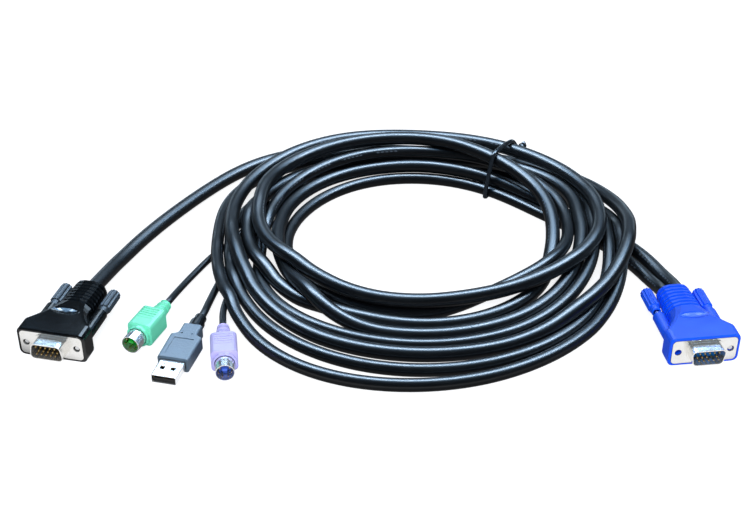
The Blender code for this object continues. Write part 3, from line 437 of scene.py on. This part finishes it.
coiled_video = coil_line(VIDEO_ARRIVES, VIDEO_TURNS, VIDEO_LEAVES)
coiled_data = coil_line(DATA_ARRIVES, DATA_TURNS, DATA_LEAVES)
black_end = [
    spot_at(BLACK_PLUG, HOOD_END - HOOD_OVERLAP), spot_at(BLACK_PLUG, HOOD_END + 9, 0, 1.0),
    (-128.5, 1, 3.8), (-113.5, 33, 3.8), (-97, 61, 3.8), coiled_video[0]]
blue_video_end = [
    coiled_video[-1], (137.2, 0, 3.8), (141, -10, 3.8),
    spot_at(BLUE_PLUG, HOOD_END + 12, RELIEF_SIDE, -2.6),
    spot_at(BLUE_PLUG, HOOD_END - HOOD_OVERLAP, RELIEF_SIDE)]
blue_data_end = [
    coiled_data[-1], (134.2, -13.5, 3.3), spot_at(BLUE_PLUG, HOOD_END + 10, -RELIEF_SIDE, -3.0),
    spot_at(BLUE_PLUG, HOOD_END - HOOD_OVERLAP, -RELIEF_SIDE)]
video_line = even(np.concatenate([smooth_line(black_end)[:-1], coiled_video[:-1],
                                  smooth_line(blue_video_end)]), CABLE_SPACING)
data_line = even(np.concatenate([coiled_data[:-1], smooth_line(blue_data_end)]), CABLE_SPACING)
video_line, data_line = settle(
    [video_line, data_line], [VIDEO_CABLE / 2, DATA_CABLE / 2],
    [held_ends(video_line, 8, 4), held_ends(data_line, 3, 4)],
    np.array(fixed), np.array(fixed_radii))

video_jacket = printed_jacket("video_jacket", VIDEO_RUN, 0.3)
data_jacket = printed_jacket("data_jacket", DATA_RUN, 0.32)
video_cable, route = cord_piece("video_cable", video_line, VIDEO_CABLE, video_jacket, LONG_SIDES)
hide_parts("cable_coil", "video_cable_black_end", "video_cable_blue_end")
data_cable, route = cord_piece("data_cable", data_line, DATA_CABLE, data_jacket, LONG_SIDES)
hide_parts("data_cable_blue_end")


# Video plugs: a hood of glossy plastic moulded in one piece over the cable, a pressed and
# nickel-plated steel front let into it, and two plated screws with ribbed plastic knobs
# that turn in the hood's ears.
def plastic(name, dark, light, roughness, grain=0.10, scale=1400.0, gloss=0.5):
    """Moulded plastic between two near colours."""
    made, tree, shader, where = start_material(name)
    cloud = noise(tree, where, 90.0, 4.0)
    colour = mix_colour(tree, cloud, (*dark, 1), (*light, 1))
    rough = between(tree, cloud, roughness - 0.05, roughness + 0.05)
    finish_surface(tree, shader, colour, rough, noise(tree, where, scale, 2.0), grain, 0.0003)
    shader.inputs["Specular IOR Level"].default_value = gloss
    return made


def plated(name, dark, light, roughness, metallic=1.0):
    """Plated metal, lightly streaked by the press."""
    made, tree, shader, where = start_material(name)
    stretch = node(tree, "ShaderNodeMapping", {"Vector": where, "Scale": (1.0, 6.0, 1.0)})
    cloud = noise(tree, stretch.outputs[0], 160.0, 4.0)
    colour = mix_colour(tree, cloud, (*dark, 1), (*light, 1))
    rough = between(tree, cloud, roughness * 0.7, roughness * 1.3)
    finish_surface(tree, shader, colour, rough, cloud, 0.04, 0.0003)
    shader.inputs["Metallic"].default_value = metallic
    return made


def dress(finish, *names):
    """Give CAD nodes their finish."""
    for name in names:
        bpy.data.objects[name].data.materials[0] = finish


black_moulding = plastic("black_moulding_grain", (0.0006, 0.0009, 0.0014),
                         (0.0018, 0.0023, 0.003), 0.18, 0.04)
knob_plastic = plastic("knob_plastic_grain", (0.012, 0.017, 0.022), (0.03, 0.04, 0.052), 0.42)
blue_moulding = plastic("blue_moulding_grain", (0.0005, 0.07, 0.84), (0.002, 0.11, 0.95),
                        0.38, 0.2, 1100.0, 0.25)
nickel = plated("nickel_plate", (0.86, 0.83, 0.76), (0.97, 0.96, 0.94), 0.22, 0.9)
screw_steel = plated("screw_steel_plate", (0.62, 0.62, 0.62), (0.85, 0.85, 0.84), 0.22)
for plug, moulding, knob in (("black", black_moulding, knob_plastic),
                             ("blue", blue_moulding, blue_moulding)):
    dress(moulding, f"{plug}_hood")
    dress(knob, f"{plug}_screw_left_knob", f"{plug}_screw_right_knob")
    dress(nickel, f"{plug}_steel_front")
    dress(screw_steel, f"{plug}_screw_left_rod", f"{plug}_screw_right_rod")


# Round plugs: a green and a purple plastic body, each moulded over a rolled steel shield.
# A coloured plastic core pressed into the shield holds six gold-plated pins.
green_moulding = plastic("green_moulding_grain", (0.13, 0.80, 0.46), (0.24, 0.90, 0.60),
                         0.42, 0.06)
purple_moulding = plastic("purple_moulding_grain", (0.50, 0.44, 0.88), (0.62, 0.56, 0.95),
                          0.42, 0.06)
shell_nickel = plated("shell_nickel", (0.90, 0.90, 0.90), (0.98, 0.98, 0.98), 0.2, 0.9)
gold = plated("gold_plate", (0.90, 0.62, 0.22), (1.0, 0.78, 0.38), 0.2)
green_core = plastic("green_core_grain", (0.004, 0.30, 0.02), (0.02, 0.60, 0.06), 0.3)
purple_core = plastic("purple_core_grain", (0.04, 0.10, 0.62), (0.12, 0.26, 0.95), 0.3)
for plug, moulding, core in (("green", green_moulding, green_core),
                             ("purple", purple_moulding, purple_core)):
    dress(moulding, f"{plug}_round_body")
    dress(shell_nickel, f"{plug}_shield")
    dress(core, f"{plug}_core")
    dress(gold, *(f"{plug}_pin_{number}" for number in range(1, 7)))


# Flat data plug: a dull slate plastic body moulded round a folded steel shell, with a
# glossy boot on its lead and four gold-faced contacts on a black plastic tongue.
grey_moulding = plastic("grey_moulding_grain", (0.035, 0.06, 0.085), (0.075, 0.115, 0.155),
                        0.55, 0.5, 800.0, 0.8)
copper = plated("contact_gold", (0.85, 0.36, 0.10), (0.95, 0.55, 0.20), 0.3)
black_insert = plastic("black_insert_grain", (0.003, 0.003, 0.003), (0.008, 0.008, 0.008), 0.5)
boot_plastic = plastic("boot_gloss", (0.003, 0.004, 0.005), (0.008, 0.010, 0.013), 0.2, 0.05)
dress(grey_moulding, "data_body")
dress(boot_plastic, "data_boot")
dress(shell_nickel, "data_shell")
dress(black_insert, "data_tongue")
dress(copper, *(f"data_contact_{number}" for number in range(1, 5)))


# Splitter: a small lump of black plastic moulded over the joint of the data cable and its
# three leads. It lies hidden under the coil.
dress(black_moulding, "splitter")


# Pin inserts: a moulded plastic plate pressed into each steel front, with gold-plated
# round pins in three rows; the blue plug leaves one place empty.
INSERT_BACK = 5.2
INSERT_FRONT = -0.6
INSERT_EDGE = 0.15
SHROUD_WALL = 0.8
INNER_WIDTH = 16.92 - 2 * SHROUD_WALL
INNER_HEIGHT = 8.36 - 2 * SHROUD_WALL
INNER_CORNER = 1.5
CORNER_STEPS = 5
SLANT = math.radians(10)
PIN_RADIUS = 0.39
PIN_PITCH = 2.29
ROW_PITCH = 1.98
PIN_ROWS = 3
PIN_COLUMNS = 5
PIN_SIDES = 12
PIN_TIP = -5.2
# How far before its tip a pin changes its radius, and to what share
PIN_STEPS = ((0.35, 1.0), (0.12, 0.8), (0.0, 0.45))
SHARP_EDGE = math.radians(35)


def rounded(points, corner):
    """An outline through corner points, each rounded by an arc."""
    outline = []
    count = len(points)
    for index, point in enumerate(points):
        before = (Vector(points[index - 1]) - Vector(point)).normalized()
        after = (Vector(points[(index + 1) % count]) - Vector(point)).normalized()
        half = before.angle(after) / 2
        middle = Vector(point) + (before + after).normalized() * corner / math.sin(half)
        start = Vector(point) + before * corner / math.tan(half) - middle
        end = Vector(point) + after * corner / math.tan(half) - middle
        for step in range(CORNER_STEPS + 1):
            outline.append(middle + start.slerp(end, step / CORNER_STEPS))
    return outline


def pull(mesh, face, place, centre=(0.0, 0.0), share=(1.0, 1.0)):
    """Extrude an end face to a place along Y, resized about a centre; gives the new end."""
    travel = place - face.verts[0].co.y
    is_end = any(len(edge.link_faces) > 1 for edge in face.edges)
    made = bmesh.ops.extrude_face_region(mesh, geom=[face])["geom"]
    if is_end:
        bmesh.ops.delete(mesh, geom=[face], context="FACES_ONLY")
    verts = [part for part in made if isinstance(part, bmesh.types.BMVert)]
    bmesh.ops.translate(mesh, vec=(0.0, travel, 0.0), verts=verts)
    about = Matrix.Translation((-centre[0], 0.0, -centre[1]))
    bmesh.ops.scale(mesh, vec=(share[0], 1.0, share[1]), space=about, verts=verts)
    return next(part for part in made if isinstance(part, bmesh.types.BMFace))


def place_piece(name, mesh, finish, where):
    """Put a finished mesh into the scene, its points in place, its object at the origin."""
    bmesh.ops.scale(mesh, vec=(MM, MM, MM), verts=mesh.verts)
    bmesh.ops.transform(mesh, matrix=where, verts=mesh.verts)
    bmesh.ops.recalc_face_normals(mesh, faces=mesh.faces)
    data = bpy.data.meshes.new(name)
    mesh.to_mesh(data)
    mesh.free()
    data.materials.append(finish)
    data.shade_smooth()
    data.set_sharp_from_angle(angle=SHARP_EDGE)
    item = bpy.data.objects.new(name, data)
    bpy.context.scene.collection.objects.link(item)
    return item


blue_insert = plastic("blue_insert_grain", (0.004, 0.16, 0.62), (0.01, 0.26, 0.85), 0.35)
top = INNER_WIDTH / 2
foot = top - INNER_HEIGHT * math.tan(SLANT)
D_OUTLINE = rounded([(top, INNER_HEIGHT / 2), (-top, INNER_HEIGHT / 2),
                     (-foot, -INNER_HEIGHT / 2), (foot, -INNER_HEIGHT / 2)], INNER_CORNER)
EDGE_SHARE = (1 - INSERT_EDGE / top, 1 - INSERT_EDGE / INNER_HEIGHT * 2)
for plug, where, finish, missing in (("black", BLACK_PLUG, black_insert, None),
                                     ("blue", BLUE_PLUG, blue_insert, (1, 3))):
    mesh = bmesh.new()
    face = mesh.faces.new([mesh.verts.new((x, INSERT_BACK, z)) for x, z in D_OUTLINE])
    face = pull(mesh, face, INSERT_FRONT + INSERT_EDGE)
    pull(mesh, face, INSERT_FRONT, share=EDGE_SHARE)
    plate = place_piece(f"{plug}_insert_plate", mesh, finish, where)
    mesh = bmesh.new()
    for row in range(PIN_ROWS):
        shift = -PIN_PITCH / 4 if row == 1 else PIN_PITCH / 4
        for column in range(PIN_COLUMNS):
            if (row, column) == missing:
                continue
            x = (column - 2) * PIN_PITCH + shift
            z = (1 - row) * ROW_PITCH
            upright = Matrix.Translation((x, 0.0, z)) @ Matrix.Rotation(math.pi / 2, 4, "X")
            circle = bmesh.ops.create_circle(mesh, cap_ends=True, segments=PIN_SIDES,
                                             radius=PIN_RADIUS, matrix=upright)
            face = circle["verts"][0].link_faces[0]
            width = 1.0
            for before_tip, share in PIN_STEPS:
                face = pull(mesh, face, PIN_TIP + before_tip, (x, z), (share / width,) * 2)
                width = share
    pin_piece = place_piece(f"{plug}_gold_pins", mesh, gold, where)
    for piece, slot in ((plate, f"{plug}_insert"), (pin_piece, "gold")):
        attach(piece, BODY)
    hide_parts(f"{plug}_pin_insert")


# Wire tie: plastic-coated wire drawn tight round all ten strands at the back of the
# coil, its two tails twisted over each other outside the bundle.
TIE_ANGLE = 57.0
TIE_WIRE = 2.5
TIE_SLACK = 0.45
TIE_STEPS = 72
TIE_EASING = 18
TIE_SPACING = 1.0
TIE_SIDES = 4
KNOT_STEP = 6
TWIST_RUN = Vector((0.95, 0.30))
TAIL_STEPS = 8
TAIL_TURN = 2.1 * math.pi
TAIL_START = 1.2
TAIL_LENGTH = 4.6
TWIST_RADIUS = 1.15
TWIST_OUT = 1.0
CROSSING = 20


def strands_across(angle):
    """Radius, height and half thickness of every strand where it crosses one angle."""
    found = []
    for line, diameter in ((video_line, VIDEO_CABLE), (data_line, DATA_CABLE)):
        spots = line[:, :2] - np.array(COIL_CENTRE)
        turn = np.degrees(np.arctan2(spots[:, 1], spots[:, 0])) - angle
        crosses = (turn[:-1] > 0) & (turn[1:] <= 0) & (turn[:-1] < CROSSING)
        for k in np.nonzero(crosses)[0]:
            share = turn[k] / (turn[k] - turn[k + 1])
            point = line[k] + (line[k + 1] - line[k]) * share
            radius = np.linalg.norm(point[:2] - np.array(COIL_CENTRE))
            found.append((radius, point[2], diameter / 2))
    return found


def tie_hull(strands):
    """An eased outline round the strands, as points of radius and height."""
    hull = []
    for step in range(TIE_STEPS):
        turn = 2 * math.pi * step / TIE_STEPS
        out = Vector((math.cos(turn), math.sin(turn)))
        reach = [Vector((r, z)).dot(out) + thick for r, z, thick in strands]
        best = strands[reach.index(max(reach))]
        hull.append(Vector(best[:2]) + out * (best[2] + TIE_WIRE / 2 + TIE_SLACK))
    for _ in range(TIE_EASING):
        hull = [(hull[k - 1] + hull[k] * 2 + hull[(k + 1) % len(hull)]) / 4
                for k in range(len(hull))]
    return [Vector((point.x, max(point.y, TIE_WIRE / 2 + TABLE_GAP))) for point in hull]


def tie_tail(knot, first_turn):
    """One of the two tails that wind round each other from the knot."""
    side = Vector((-TWIST_RUN.y, TWIST_RUN.x))
    tail = []
    for step in range(TAIL_STEPS + 1):
        share = step / TAIL_STEPS
        turn = first_turn + TAIL_TURN * share
        spot = (knot + TWIST_RUN * (TAIL_START + TAIL_LENGTH * share)
                + side * (TWIST_RADIUS * math.cos(turn) + TWIST_OUT))
        tail.append((spot.x, spot.y, TWIST_RADIUS * math.sin(turn)))
    return tail


hull = tie_hull(strands_across(TIE_ANGLE))
loop = hull[KNOT_STEP + 1:] + hull[:KNOT_STEP]
around = [(point.x, point.y, 0.0) for point in loop]
tie_line = (tie_tail(hull[KNOT_STEP], math.pi)[::-1] + around[1:-1]
            + tie_tail(hull[KNOT_STEP], 0.0))
turn = math.radians(TIE_ANGLE)
outward = np.array([math.cos(turn), math.sin(turn), 0.0])
sideways = np.array([-math.sin(turn), math.cos(turn), 0.0])
centre = np.array([COIL_CENTRE.x, COIL_CENTRE.y, 0.0])
tie_points = [centre + outward * r + sideways * s + np.array([0.0, 0.0, z])
              for r, z, s in tie_line]
tie_coating = plastic("tie_coating_gloss", (0.006, 0.008, 0.011), (0.018, 0.023, 0.029),
                      0.22, 0.05)
wire_tie, route = cord_piece("coated_wire_tie", even(smooth_line(tie_points), TIE_SPACING),
                             TIE_WIRE, tie_coating, TIE_SIDES)
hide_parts("wire_tie")


# Table: a plain pale sheet, white to the camera, that keeps soft shadows. In reflections the sheet
# glows with painted light, dim under the coil and bright only in front of the plugs' steel faces.
# Painted glow seen only in reflections: dim inside this ring round the coil, bright in front of
# the plugs
POOL_CENTRE = (0.023, 0.011, 0.0)
POOL_RADII = (0.118, 0.145)
POOL_FRONT = (-0.074, -0.084)
floor_sheet = bpy.data.meshes.new("floor")
shape = bmesh.new()
bmesh.ops.create_grid(shape, x_segments=1, y_segments=1, size=2.0)
shape.to_mesh(floor_sheet)
shape.free()
floor = bpy.data.objects.new("floor", floor_sheet)
bpy.context.scene.collection.objects.link(floor)
table = bpy.data.materials.new("table")
table.use_nodes = True
tree = table.node_tree
tree.nodes.clear()
seen = node(tree, "ShaderNodeEmission", {"Color": (1, 1, 1, 1), "Strength": 0.8})
lit = node(tree, "ShaderNodeBsdfDiffuse", {"Color": (0.55, 0.55, 0.56, 1)})
shown = node(tree, "ShaderNodeAddShader", {0: seen.outputs[0], 1: lit.outputs[0]})
where = node(tree, "ShaderNodeTexCoord").outputs["Object"]
away = node(tree, "ShaderNodeVectorMath", {0: where, 1: POOL_CENTRE}, operation="DISTANCE")
outside = node(tree, "ShaderNodeMapRange", {
    "Value": away.outputs["Value"], "From Min": POOL_RADII[0], "From Max": POOL_RADII[1]})
depth = node(tree, "ShaderNodeSeparateXYZ", {0: where}).outputs[1]
in_front = node(tree, "ShaderNodeMapRange", {
    "Value": depth, "From Min": POOL_FRONT[0], "From Max": POOL_FRONT[1]})
pool = arithmetic(tree, "MULTIPLY", outside.outputs[0], in_front.outputs[0])
# Painted light: the sheet's glow as reflections see it, strongest in front of the steel faces
mirrored = node(tree, "ShaderNodeEmission", {
    "Color": (0.96, 0.97, 1.0, 1), "Strength": between(tree, pool, 0.16, 1.0)})
bounced = node(tree, "ShaderNodeBsdfDiffuse", {"Color": (0.6, 0.62, 0.66, 1)})
ray = node(tree, "ShaderNodeLightPath").outputs
other = node(tree, "ShaderNodeMixShader", {
    0: ray["Is Glossy Ray"], 1: bounced.outputs[0], 2: mirrored.outputs[0]})
surface = node(tree, "ShaderNodeMixShader", {
    0: ray["Is Camera Ray"], 1: other.outputs[0], 2: shown.outputs[0]})
node(tree, "ShaderNodeOutputMaterial", {"Surface": surface.outputs[0]})
floor_sheet.materials.append(table)


# Room: white behind the table for the camera, a dim blue-white for the surfaces and
# nearly dark in reflections, so that black plastic stays black.
world = bpy.data.worlds.new("studio")
bpy.context.scene.world = world
world.use_nodes = True
tree = world.node_tree
tree.nodes.clear()
white = node(tree, "ShaderNodeBackground", {"Color": (1, 1, 1, 1), "Strength": 1.0})
dim = node(tree, "ShaderNodeBackground", {"Color": (0.75, 0.85, 1.0, 1), "Strength": 0.35})
dark = node(tree, "ShaderNodeBackground", {"Color": (0.7, 0.85, 1.0, 1), "Strength": 0.04})
ray = node(tree, "ShaderNodeLightPath").outputs
other = node(tree, "ShaderNodeMixShader", {
    0: ray["Is Glossy Ray"], 1: dim.outputs[0], 2: dark.outputs[0]})
surface = node(tree, "ShaderNodeMixShader", {
    0: ray["Is Camera Ray"], 1: other.outputs[0], 2: white.outputs[0]})
node(tree, "ShaderNodeOutputWorld", {"Surface": surface.outputs[0]})


# Lamps: two wide soft boxes light the surfaces from the front and the right at a plain
# level. The other four are seen only in highlights, as the photo's broad blue-white ones
# along the tops of the cables.
COOL_WHITE = (0.88, 0.94, 1.0)


def soft_box(name, place, target, size, power, colour, in_highlights):
    """A rectangular lamp that acts either on surfaces or in their highlights."""
    light = bpy.data.objects.new(name, bpy.data.lights.new(name, "AREA"))
    light.data.shape = "RECTANGLE"
    light.data.size, light.data.size_y = size
    light.data.energy = power
    light.data.color = colour
    light.location = place
    aim = Vector(target) - Vector(place)
    light.rotation_euler = aim.to_track_quat("-Z", "Y").to_euler()
    light.visible_glossy = in_highlights
    light.visible_diffuse = not in_highlights
    bpy.context.scene.collection.objects.link(light)


soft_box("front_box", (-0.1, -0.8, 0.75), (0.0, 0.0, 0.0), (0.9, 0.5), 9.5, COOL_WHITE, False)
soft_box("right_box", (0.95, -0.35, 0.5), (0.0, 0.0, 0.0), (0.5, 0.5), 4.0, COOL_WHITE, False)
soft_box("over_box", (0.05, 0.25, 0.66), (0.05, 0.12, 0.0), (1.3, 0.46), 18.0,
         (0.30, 0.60, 1.0), True)
soft_box("over_core", (0.05, 0.21, 0.64), (0.05, 0.12, 0.0), (1.1, 0.11), 17.0,
         (0.74, 0.88, 1.0), True)
soft_box("back_core", (0.0, 0.62, 0.72), (-0.1, 0.1, 0.0), (0.7, 0.08), 2.0,
         (0.70, 0.86, 1.0), True)
soft_box("backdrop", (0.0, 1.35, 0.16), (0.0, 0.0, 0.1), (2.8, 0.2), 5.0,
         (0.6, 0.8, 1.0), True)
bpy.context.scene.view_settings.view_transform = "Standard"
